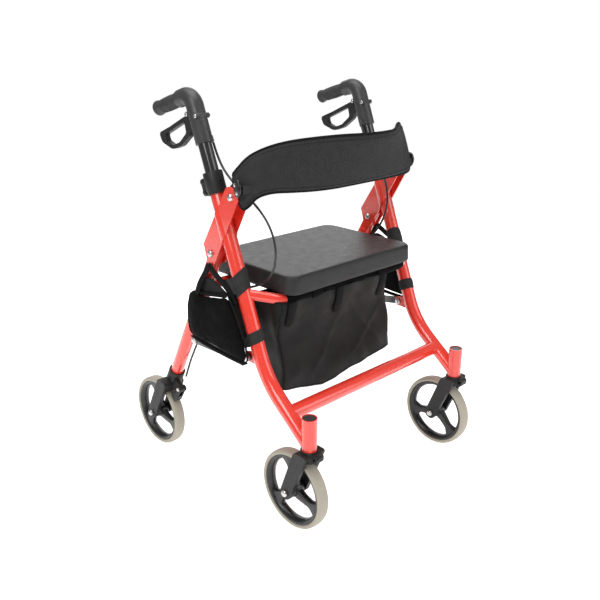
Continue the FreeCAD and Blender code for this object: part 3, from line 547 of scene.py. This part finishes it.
def seat():
    """A moulded cushion with a gently dished top, a soft edge and seams down its corners."""
    x_half, y_half = SEAT_HALF
    base = dense(rounded_rectangle(x_half, SEAT_MIDDLE_Y - y_half, SEAT_MIDDLE_Y + y_half, 24, 30, 12))

    def ring_at(inset, z):
        return [Vector((point.x * (1 - inset / x_half),
                        SEAT_MIDDLE_Y + (point.y - SEAT_MIDDLE_Y) * (1 - inset / y_half), z))
                for point in base]

    # How far in and how high each ring is: under the edge, up the side, over the rim, and in to the middle.
    rows = [(12, 480.6), (4, 480.7), (0.4, 481.4), (-0.7, 483.5), (-0.9, 488), (-0.6, 498), (-0.2, 508),
            (0.2, 515), (1.3, 518.2), (3.0, 520.0), (5.6, 520.8), (10, 521), (22, 520.7), (44, 520.3),
            (74, 520.0), (108, 519.8), (132, 519.8)]
    rings = [ring_at(inset, z) for inset, z in rows]
    for ring in rings[11:]:
        for point in ring:
            point.z += 0.35 * noise.noise(point * 0.02) - 0.2
    obj = piece("seat_cushion", Shape().rings(rings), "seat", MATS["vinyl"], ("seat_pad",),
                sharp=60)
    bead = Shape()
    for x, y in ((-194.6, -156), (-172, -178.4), (172, -178.4), (194.6, -156)):
        out = Vector((x, y - SEAT_MIDDLE_Y, 0)).normalized() * 0.5
        points = [Vector((x, y, z)) + out for z in (484, 495, 508, 517)]
        points.append(Vector((x * 0.992, y * 0.99, 520.2)))
        tube(bead, points, 0.9, up=(1, 1, 0), sides=8)
    piece("seat_corner_seams", bead, "seat", MATS["vinyl"], sharp=80)


# ---------------------------------------------------------------- backrest

# Columns of the band: x, and y and z of its lower and upper edges.
BAND = [
    (-264.0, -84.0, 700, -79.0, 714),
    (-263.0, -98.0, 676, -82.0, 724),
    (-259.0, -108.0, 662, -85.5, 731),
    (-251.0, -116.0, 668, -89.0, 740),
    (-239.0, -122.5, 681, -95.0, 753),
    (-222.0, -128.5, 688, -105.0, 765),
    (-196.0, -136.0, 690, -121.5, 776),
    (-160.0, -145.0, 687, -142.5, 784),
    (-110.0, -154.5, 683, -166.5, 788),
    (-55.0, -161.0, 681, -183.0, 789),
    (0.0, -163.0, 681, -188.0, 787),
    (55.0, -161.0, 681, -183.0, 785),
    (110.0, -154.5, 680, -166.5, 783),
    (160.0, -145.0, 679, -142.5, 781),
    (196.0, -136.0, 678, -121.5, 782),
    (222.0, -129.5, 678, -103.0, 785),
    (240.0, -124.5, 679, -91.0, 788),
    (254.0, -119.5, 683, -84.0, 787),
    (264.0, -112.0, 698, -82.0, 774),
    (267.5, -103.0, 716, -85.0, 750),
]


def band_columns():
    low = spline([(x, y, z) for x, y, z, _, _ in BAND], 6)
    high = spline([(x, y, z) for x, _, _, y, z in BAND], 6)
    return list(zip(low, high))


def backrest():
    """A padded band with a bound edge and a row of stitches inside it."""
    columns = band_columns()
    count = len(columns)
    rows = 14
    rings, fronts, backs = [], [], []
    for index, (low, high) in enumerate(columns):
        before, after = columns[max(index - 1, 0)], columns[min(index + 1, count - 1)]
        along = ((after[0] + after[1]) - (before[0] + before[1])).normalized()
        up = (high - low).normalized()
        out = along.cross(up).normalized()
        if out.y > 0:
            out = -out
        end = min(index, count - 1 - index) / 9
        full = 1.5 + 6.3 * (1 - math.exp(-2.2 * end))
        front, back = [], []
        for row in range(rows + 1):
            t = row / rows
            edge = min(t, 1 - t) * (high - low).length
            swell = 0.32 + 0.68 * (1 - math.exp(-edge / 7.5))
            ripple = 0.5 * noise.noise(Vector((index * 0.16, row * 0.5, 3)))
            middle = low.lerp(high, t) - out * 8.0
            front.append(middle + out * (full * swell + ripple))
            back.append(middle - out * (full * swell * 0.9))
        fronts.append(front)
        backs.append(back)
        rings.append(front + back[::-1])
    obj = piece("backrest_band", Shape().rings(rings), "backrest", MATS["band"], ("backrest_pad",),
                sharp=75)
    edge = [front[0].lerp(back[0], 0.5) for front, back in zip(fronts, backs)]
    edge += [front[-1].lerp(back[-1], 0.5) for front, back in zip(fronts, backs)][::-1]
    rings = []
    for index, point in enumerate(edge):
        tangent = (edge[(index + 1) % len(edge)] - edge[index - 1]).normalized()
        across = tangent.cross(Vector((0.05, 0, 1)).cross(tangent)).normalized()
        other = tangent.cross(across)
        rings.append([point + across * (3.4 * math.cos(a)) + other * (3.4 * math.sin(a))
                      for a in turns(10)])
    piece("backrest_binding", Shape().rings(rings, along=True), "backrest", MATS["webbing"],
          sharp=80)
    stitches = Shape()
    for row in (1, rows - 1):
        for index in range(6, count - 7):
            a = fronts[index][row] + Vector((0, -0.25, 0))
            b = fronts[index + 1][row] + Vector((0, -0.25, 0))
            steps = max(1, round((b - a).length / 5))
            for step in range(steps):
                start, end = a.lerp(b, step / steps), a.lerp(b, (step + 0.62) / steps)
                tube(stitches, [start, start.lerp(end, 0.5) + Vector((0, -0.35, 0)), end], 0.45,
                     up=(0, 0, 1), sides=6)
    piece("backrest_stitches", stitches, "backrest", MATS["nylon"])
    for name, side in SIDES:
        end_cap(name, side)


def end_cap(name, side):
    """The oval cap that clamps the band's end, with two screws."""
    centre = Vector((side * 265.5, -101, 701))
    turn = Matrix.Rotation(side * math.radians(14), 4, "Z")
    place = Matrix.Translation(centre) @ turn
    rings = []
    for out, scale in ((-3.5, 0.9), (-1.5, 1.0), (0.6, 1.0), (2.0, 0.94), (2.7, 0.84), (2.9, 0.6),
                       (3.0, 0.2)):
        rings.append([place @ Vector((side * out, 13 * scale * math.cos(a), 18 * scale * math.sin(a)))
                      for a in turns(40)])
    piece(name + "_band_cap", Shape().rings(rings), "backrest", MATS["wheel_plastic"],
          sharp=40)
    screws = Shape()
    for y, z in ((5.0, 7.0), (-4.5, -7.5)):
        rings = []
        for out, radius in ((2.0, 4.0), (3.6, 4.0), (4.3, 3.3), (4.6, 2.0), (3.9, 1.7), (3.9, 0.3)):
            rings.append([place @ Vector((side * out, y + radius * math.cos(a), z + radius * math.sin(a)))
                          for a in turns(20)])
        screws.rings(rings)
    piece(name + "_band_screws", screws, "backrest", MATS["steel"], sharp=40)


# ---------------------------------------------------------------- bag and pockets

def bag_front(x, t):
    """A point of the bag's front: t is 0 at its top and 1 at its bottom edge."""
    slack = (x + 186) / 118 if x < -68 else (171 - x) / 239
    sag = 25 * max(0, min(1, slack))
    y = -139 - 24 * (1 - smoothstep(0, 0.42, t)) - 3 * math.sin(math.pi * t)
    return Vector((x, y, BAG_TOP["front"] * (1 - t) + (BAG_FOOT["front"] - sag) * t))


def bag():
    """An open-topped cloth bag: hung from the seat tube, creased, and sagging at the bottom."""
    def section(t):
        left = -212 + 26 * smoothstep(0, 0.9, t)
        right = 136 + 38 * t
        radius = 6 + 22 * (1 - smoothstep(0, 0.5, t))
        half, middle = (right - left) / 2, (right + left) / 2
        ring = rounded_rectangle(half, bag_front(0, t).y, -51 - 13 * t, radius, 12, 5)
        return [point + Vector((middle, 0, 0)) for point in dense(ring, 6)]

    count = len(section(0))
    rings = []
    for step in range(BAG_LEVELS + 1):
        t = step / BAG_LEVELS
        ring = resample(section(t), count)
        for point in ring:
            front = smoothstep(-60, -120, point.y)
            rear_z = BAG_TOP["rear"] * (1 - t) + BAG_FOOT["rear"] * t
            point.z = rear_z + (bag_front(point.x, t).z - rear_z) * front
            point += bag_crease(point, t)
        rings.append(ring)
    bottom = rings[-1]
    centre = Vector((0, -90, 0))
    for inset, drop in ((0.02, 3), (0.08, 6), (0.20, 9.5), (0.38, 12.5), (0.62, 14.5), (0.85, 15),
                        (0.99, 15)):
        ring = []
        for point in bottom:
            flat = centre.lerp(Vector((point.x, point.y, 0)), 1 - inset)
            height = point.z + (BAG_FOOT["rear"] - point.z) * smoothstep(0.05, 0.7, inset)
            ring.append(Vector((flat.x, flat.y, height - drop - 2.5 * noise.noise(flat * 0.02))))
        rings.append(ring)
    piece("bag_shell", Shape().rings(rings, caps=(False, True)), "frame", MATS["nylon"],
          ("underseat_bag",), sharp=70, solid=1.4, levels=1)
    trim = Shape()
    closed_tube(trim, [point + Vector((0, 0, 0.5)) for point in rings[0]], 1.8, (0, 0, 1))
    closed_tube(trim, [point + Vector((0, 0, 1)) for point in bottom], 1.4, (0, 0, 1))
    for way in (-1, 1):
        corner = [max(ring, key=lambda point: way * point.x - point.y) for ring in rings[:BAG_LEVELS + 1:2]]
        tube(trim, corner, 1.3, up=(1, 1, 0), sides=8)
    piece("bag_piping", trim, "frame", MATS["webbing"], sharp=80)
    bag_sleeve()
    bag_tabs()


def bag_sleeve():
    """The hem of the bag, which wraps the front of the bowed seat tube."""
    rings = []
    for step in range(61):
        x = -195 + 390 * step / 60
        bend = max(0.0, abs(x) - 170.6)
        middle = Vector((x, -110 - math.sqrt(42 ** 2 - bend ** 2), 467))
        radius = 11.8 + 0.3 * math.cos(x * 0.15) ** 2
        ring = []
        for angle in turns(28):
            wave = radius + 0.3 * noise.noise(Vector((x * 0.04, angle, 3)))
            ring.append(middle + Vector((0, wave * math.cos(angle), wave * math.sin(angle))))
        rings.append(ring)
    # The hem gets the darkest black as painted shade: it lies in shade under the seat's front edge.
    piece("bag_sleeve", Shape().rings(rings), "frame", MATS["painted_shade_black"], sharp=70)


def bag_tabs():
    """Three tabs of webbing that hang down the bag's front from its hem, with rounded ends."""
    tabs = Shape()
    heights = (0.0, 0.06, 0.12, 0.18, 0.225, 0.255, 0.27, 0.278)
    widths = (23, 23, 23, 23, 22, 18, 12, 4)
    for x in (-181, -36, 110):
        points = []
        for t in heights:
            point = bag_front(x, t)
            points.append(point + bag_crease(point, t) + Vector((0, -3.0, 0)))
        ribbon(tabs, points, (0, -1, 0), widths, 2.4, across=(1, 0, 0))
    piece("bag_tabs", tabs, "frame", MATS["webbing"], sharp=60)


def bag_crease(point, t):
    """How far the creases move a point of the bag: hanging folds at the top, slack ones lower down."""
    out = Vector((point.x / 182, (point.y + 90) / 52, 0))
    out = Vector((out.x ** 7, out.y ** 5, 0))
    if out.length > 0:
        out.normalize()
    x, y, z = point
    hang = 2.2 * math.exp(-t * 2.6) * math.cos(x * 0.0736 + 0.4)
    slack = 4.5 * noise.noise(Vector((x * 0.012, y * 0.02, z * 0.017)))
    drag = 2.6 * noise.noise(Vector((x * 0.03 + z * 0.018, y * 0.03, z * 0.012 + 8)))
    crease = 0.0
    for slope, shift, size in ((0.8, 60, 2.6), (-0.55, -40, 2.2), (0.35, 150, 1.8), (-1.1, 110, 2.0)):
        distance = (x - shift) + (z - 360) * slope + 14 * noise.noise(Vector((z * 0.012, shift, 1)))
        crease += size * math.exp(-(distance / 9) ** 2) * smoothstep(0.05, 0.4, t) * smoothstep(1.0, 0.7, t)
    return out * ((slack + drag) * smoothstep(0, 0.25, t) + hang + crease)


def pocket(name, side):
    """A soft pouch outside the legs, fuller toward its base, with a bound top edge."""
    # y and z of its outline, from the top of its front edge, back and round.
    outline = [(-78, 480), (-40, 473), (10, 463), (38, 462), (55, 452), (65, 422), (67, 386), (63, 364),
               (48, 355), (10, 351), (-60, 347), (-126, 346), (-137, 355), (-129, 390), (-104, 440)]
    if side > 0:
        outline = [(y + 26 * smoothstep(-10, -100, y), z) for y, z in outline]
    ring = resample([Vector((0, y, z)) for y, z in outline], 72)
    middle = Vector((0, -22, 408))
    shells = []
    for way in (-1, 1):
        rows = []
        for step in range(13):
            t = step / 12
            row = []
            for point in ring:
                inner = middle.lerp(point, 1 - t * 0.96)
                depth = 2 + 11.5 * math.sin(math.pi / 2 * min(1, t * 1.9)) ** 0.8
                if way * side < 0:
                    depth *= 0.5
                low = smoothstep(470, 380, inner.z) * 0.35 + 0.65
                fold = 2.2 * noise.noise(Vector((inner.y * 0.022, inner.z * 0.03, 5 + side)))
                drag = 1.6 * noise.noise(Vector((inner.y * 0.05 - inner.z * 0.03, inner.z * 0.03, 9)))
                swell = depth * low + (fold + drag) * min(1, t * 2)
                row.append(Vector((side * POCKET_X + way * swell, inner.y, inner.z)))
            rows.append(row)
        shells.append(rows)
    # The pouch gets the darkest black as painted shade on its sides.
    pouch = piece(name + "_pocket_pouch", Shape().rings(shells[0][::-1] + shells[1]), "frame",
                  MATS["painted_shade_black"], (name + "_side_pocket",), sharp=75)
    puff(pouch, 5, 3, 6)
    pocket_ties(name, side)
    rim = [Vector((side * POCKET_X, p.y, p.z)) for p in ring]
    piece(name + "_pocket_binding", closed_tube(Shape(), rim, 1.7, (1, 0, 0), 1.5), "frame",
          MATS["webbing"], sharp=80)


def pocket_ties(name, side):
    """The cloth between the pouch and the front leg, and the straps up to the rear leg."""
    rows = []
    for step in range(15):
        z = 372 + 136 * step / 14
        leg = leg_axis(z)
        front = Vector((side * 255, leg.y + 13.5, z))
        rear_y = -108 + (z - 372) * 0.33 if z < 470 else -76 + (z - 470) * 0.75
        rear = Vector((side * (274 if z < 470 else 270), rear_y + 4, z - 2))
        row = []
        for part in range(9):
            t = part / 8
            point = front.lerp(rear, t)
            wave = noise.noise(Vector((t * 3, z * 0.03, 4)))
            point.x += side * (1.6 * wave + 2.2 * math.sin(math.pi * t))
            row.append(point)
        rows.append(row)
    piece(name + "_pocket_web", Shape().rings(rows, around=False), "frame", MATS["nylon"],
          sharp=80, solid=1.6, levels=1)
    low = spline([(side * 273, 40, 452), (side * 274, 0, 458), (side * 273, -66, 470)], 8)
    high = spline([(side * 273, 38, 462), (side * 271, 14, 488), (side * 270, -6, 501),
                   (side * 270, -34, 494), (side * 272, -68, 480)], 4)
    rows = [[a.lerp(b, t / 6) for t in range(7)] for a, b in zip(low, high)]
    piece(name + "_pocket_panel", Shape().rings(rows, around=False), "frame", MATS["nylon"],
          sharp=80, solid=1.6, levels=1)
    straps = Shape()
    top = Vector((side * 268, -1, 526))
    for route, width in (
            ([top, (side * 270, -34, 507), (side * 270, -66, 489), (side * 271, -90, 462)], 15),
            ([top, (side * 270, 12, 503), (side * 276, 22, 482), (side * 282, 28, 457)], 17),
            ([(side * POCKET_X, 40, 459), (side * 284, 44, 440), (side * 289, 44, 420)], 15)):
        ribbon(straps, spline(route, 5), (side, 0.1, 0.2), width, 2.0)
    piece(name + "_pocket_straps", straps, "frame", MATS["webbing"], sharp=60)
    route = ((52, 354), (10, 348), (-60, 344), (-128 if side < 0 else -104, 343))
    points = spline([(side * POCKET_X, y, z) for y, z in route], 5)
    base = ribbon(Shape(), points, (0, 0, -1), 15, 2.4, across=(1, 0, 0))
    piece(name + "_pocket_base", base, "frame", MATS["strap"], sharp=60)


def leg_straps():
    """Webbing lapped round each front leg in two places, with a loose end at each."""
    for name, side in SIDES:
        shape = Shape()
        for z, width, swell, slant in ((503, 43, 2.0, 8.5), (394, 25, 1.8, 3.0)):
            first = len(shape.verts)
            rings = []
            for row in range(9):
                t = row / 8
                ring = []
                for angle in turns(48):
                    wave = 0.35 * math.sin(3 * angle + row)
                    wave += 0.5 * noise.noise(Vector((angle, row * 0.4, z)))
                    radius = LEG_RADIUS + swell + wave * 0.6 - (0.9 if row in (0, 8) else 0)
                    lean = slant * (-side * 0.72 * math.cos(angle) - 0.69 * math.sin(angle))
                    ring.append(Vector((radius * math.cos(angle), radius * math.sin(angle),
                                        (t - 0.5) * width + lean)))
                rings.append(ring)
            inner = []
            for ring in (rings[-1], rings[0]):
                shrink = [(LEG_RADIUS + 0.05) / point.to_2d().length for point in ring]
                inner.append([Vector((p.x * scale, p.y * scale, p.z)) for p, scale in zip(ring, shrink)])
            shape.rings(rings + inner, along=True)
            shape.move(lean_matrix(side, z), first)
            loose = [leg_axis(z) + Vector((side * (LEG_X + out), y, down))
                     for out, y, down in ((17.2, 2, -4), (19.5, 9, -8), (19.0, 17, -12))]
            ribbon(shape, spline(loose, 4), (side, 0, 0), width - 8, 1.6)
        piece(name + "_leg_straps", shape, "frame", MATS["strap"],
              ("leg_straps",) if side < 0 else (), sharp=50)


# ---------------------------------------------------------------- grips

def grip_axis(y):
    """A point of the grip's axis, which falls toward the back, in the plane of the leg."""
    return Vector((0, y, 848.7 - 0.29 * (y - 128.3)))


def grip(name, side):
    """A rubber grip: a collar, ridges, a palm swell and a flared end."""
    start, end = grip_axis(96), grip_axis(181)
    axis = end - start
    length = axis.length
    axis.normalize()
    turn = Vector((0, 1, 0)).rotation_difference(axis).to_matrix().to_4x4()
    profile = [(0.2, 9.2), (0.2, 16.2), (1.2, 17.5), (4.0, 17.6), (5.6, 16.2), (7.0, 14.2)]
    for ridge in range(13):
        along = 9 + ridge * 4.6
        base = 14.0 + 0.9 * math.sin(math.pi * ridge / 12)
        profile += [(along, base - 0.15), (along + 1.0, base + 0.75), (along + 2.4, base + 0.75),
                    (along + 3.4, base - 0.15)]
    profile += [(length - 15, 14.0), (length - 11, 14.8), (length - 5, 16.0), (length - 2, 16.2),
                (length - 0.4, 15.0), (length, 12.5), (length, 0.5)]
    shape = lathe(Shape(), profile, (0, 0, 0), axis="Y", sides=48)
    shape.move(Matrix.Translation(start + Vector((side * LEG_X, 0, 0))) @ turn)
    piece(name + "_grip_rubber", shape, name + "_handle", MATS["grip_rubber"],
          (name + "_grip",), sharp=50)


# ---------------------------------------------------------------- brake cables

# Each route runs from the lever, in a bow beside the seat, down to the brake: x outward, y and z.
CABLE_TOP = [(226.6, 20.4, 774.6), (226, 5, 737), (221, -26, 703)]
CABLE_BOWS = {
    "right": [(217, -64, 680), (215, -102, 657), (215, -134, 630), (215, -153, 595), (215, -155, 556),
              (214, -139, 521), (213, -107, 496), (213, -66, 479), (214, -24, 463), (215, 15, 440),
              (217, 47, 408), (221, 73, 370)],
    "left": [(216, -56, 676), (211, -78, 646), (208, -88, 612), (207, -84, 577), (208, -68, 545),
             (210, -46, 518), (211, -22, 493), (212, 3, 467), (215, 29, 438), (218, 53, 404), (221, 75, 368)],
}
CABLE_FOOT = [(226, 96, 330), (232, 115, 289), (241, 128, 250), (250, 134, 214)]
CABLE_RADIUS = 2.5


def smooth_line(route):
    """Points along the smooth NURBS line that the route controls."""
    curve = bpy.data.curves.new("route", "CURVE")
    curve.dimensions = "3D"
    line = curve.splines.new("NURBS")
    line.points.add(len(route) - 1)
    for point, place in zip(line.points, route):
        point.co = (*place, 1)
    line.order_u = 3
    line.use_endpoint_u = True
    obj = bpy.data.objects.new("route", curve)
    mesh = bpy.data.meshes.new_from_object(obj)
    points = [vert.co.copy() for vert in mesh.vertices]
    bpy.data.meshes.remove(mesh)
    bpy.data.objects.remove(obj)
    bpy.data.curves.remove(curve)
    return points


def brake_cable(name, side):
    """Two lengths of one cable, cut where it runs furthest forward: the upper from the handle down beside the
    frame, the lower on down to the brake on the rear frame.
    """
    route = CABLE_TOP + CABLE_BOWS[name] + CABLE_FOOT
    points = smooth_line([(side * x, y, z) for x, y, z in route])
    middle = min(range(len(points)), key=lambda index: points[index].y)
    turn = points[middle]
    for length, part, bodies, start, end in (
            ("upper", points[:middle + 1], (name + "_handle", "frame"),
             (turn.x, 15, 755), turn + Vector((0, 4, 8))),
            ("lower", points[middle:], ("frame", "rear_frame"),
             turn + Vector((0, 4, -20)), (turn.x, 90, 335))):
        shape = tube(Shape(), part, CABLE_RADIUS, sides=12)
        obj = piece(name + "_cable_" + length, shape, None, MATS["cable"], (name + "_brake_cable",),
                    sharp=60)
        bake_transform(obj)


# ---------------------------------------------------------------- stage

FLOOR_RADIUS = 2.7
# Each lamp's name, place in metres, power in watts and size in metres.
LAMPS = (("top", (-0.2, 0.1, 3.3), 72, 2.6), ("back", (2.6, 2.7, 1.9), 52, 3.2),
         ("key", (-2.6, -0.9, 2.4), 42, 1.5), ("fill", (1.3, -2.9, 1.5), 28, 2.0))


def stage():
    """A round pale floor, four soft lamps and a plain white background."""
    edge = [(FLOOR_RADIUS * math.cos(a), FLOOR_RADIUS * math.sin(a), 0) for a in turns(64)]
    disc = bpy.data.meshes.new("floor")
    disc.from_pydata(edge, [], [tuple(range(len(edge)))])
    floor = bpy.data.objects.new("floor", disc)
    bpy.context.scene.collection.objects.link(floor)
    paper = new_material("floor_paper", (0.93, 0.93, 0.93), 0.75, specular=0.2)
    vary_colour(paper, (0.93, 0.93, 0.93), (0.915, 0.915, 0.915), 3)
    shader_of(paper).inputs["Emission Color"].default_value = (1, 1, 1, 1)
    shader_of(paper).inputs["Emission Strength"].default_value = 0.60
    floor.data.materials.append(paper)
    white_room()
    for name, place, power, size in LAMPS:
        lamp = bpy.data.lights.new(name, "AREA")
        lamp.energy = power
        lamp.size = size
        obj = bpy.data.objects.new(name, lamp)
        obj.location = place
        aim = Vector((0, 0, 0.45)) - Vector(place)
        obj.rotation_euler = aim.to_track_quat("-Z", "Y").to_euler()
        bpy.context.scene.collection.objects.link(obj)
    bpy.context.scene.view_settings.view_transform = "Standard"


def white_room():
    """A dim white room round the object, behind a backdrop that is seen as plain white."""
    world = bpy.data.worlds.new("white_room")
    world.use_nodes = True
    tree = world.node_tree
    room = tree.nodes["Background"]
    room.inputs["Color"].default_value = (1, 1, 1, 1)
    room.inputs["Strength"].default_value = 0.30
    backdrop = tree.nodes.new("ShaderNodeBackground")
    backdrop.inputs["Color"].default_value = (1, 1, 1, 1)
    backdrop.inputs["Strength"].default_value = 1.0
    seen = tree.nodes.new("ShaderNodeLightPath")
    choice = tree.nodes.new("ShaderNodeMixShader")
    tree.links.new(seen.outputs["Is Camera Ray"], choice.inputs[0])
    tree.links.new(room.outputs[0], choice.inputs[1])
    tree.links.new(backdrop.outputs[0], choice.inputs[2])
    tree.links.new(choice.outputs[0], tree.nodes["World Output"].inputs["Surface"])
    bpy.context.scene.world = world


def camera():
    lens = bpy.data.cameras.new("camera")
    lens.lens = 43.2
    lens.sensor_width = 36
    obj = bpy.data.objects.new("camera", lens)
    obj.location = (-1.1303, -1.1817, 0.9704)
    obj.rotation_euler = Euler((math.radians(70.18), 0, math.radians(-43.7)))
    bpy.context.scene.collection.objects.link(obj)
    bpy.context.scene.camera = obj


# ---------------------------------------------------------------- the walker

camera()
stage()
dress_frame()
wheels()
seat()
backrest()
bag()
leg_straps()
for label, way in SIDES:
    pocket(label, way)
    brake_cable(label, way)
    grip(label, way)
